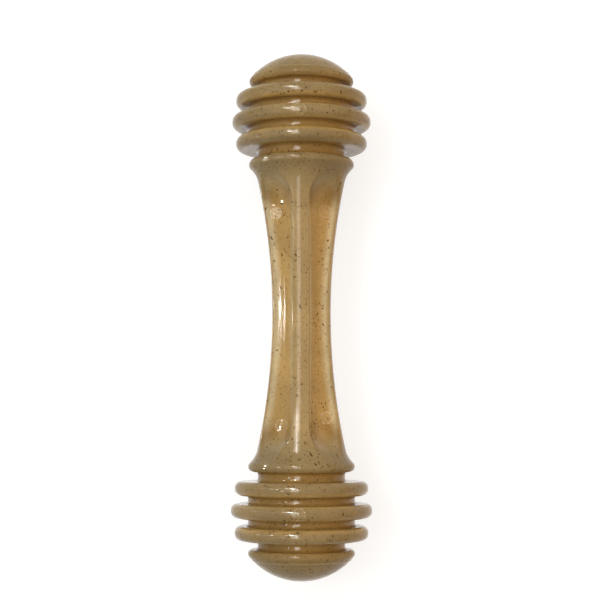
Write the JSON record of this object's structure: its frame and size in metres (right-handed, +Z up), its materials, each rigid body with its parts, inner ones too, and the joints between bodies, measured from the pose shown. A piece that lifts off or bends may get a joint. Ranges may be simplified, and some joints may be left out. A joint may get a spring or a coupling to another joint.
{
  "type": "nylon chew bone",
  "caption": "Dumbbell-shaped dog chew of flecked tan nylon: a waisted shaft with lengthwise flutes between two ball heads, each cut by ring grooves that scrape teeth and hold a paste treat.",
  "frame": {"origin": "on the surface the bone lies on, straight below the middle of the shaft", "axes": "+Y along the bone's length, towards the far head (the upper one in the picture); +Z up, towards the picture's camera; +X to the picture's right"},
  "size_m": [0.0472, 0.178, 0.0473],
  "materials": {
    "nylon": "moulded nylon, tan, slightly translucent, glossy, with fine dark brown fibre flecks"
  },
  "bodies": {
    "root": {"fluted_shaft": "nylon", "far_collar_core": "nylon", "far_inner_ring": "nylon", "far_inner_core": "nylon", "far_wide_ring": "nylon", "far_outer_core": "nylon", "far_outer_ring": "nylon", "far_dome_core": "nylon", "far_dome": "nylon", "near_collar_core": "nylon", "near_inner_ring": "nylon", "near_inner_core": "nylon", "near_wide_ring": "nylon", "near_outer_core": "nylon", "near_outer_ring": "nylon", "near_dome_core": "nylon", "near_dome": "nylon"}
  },
  "joints": []
}
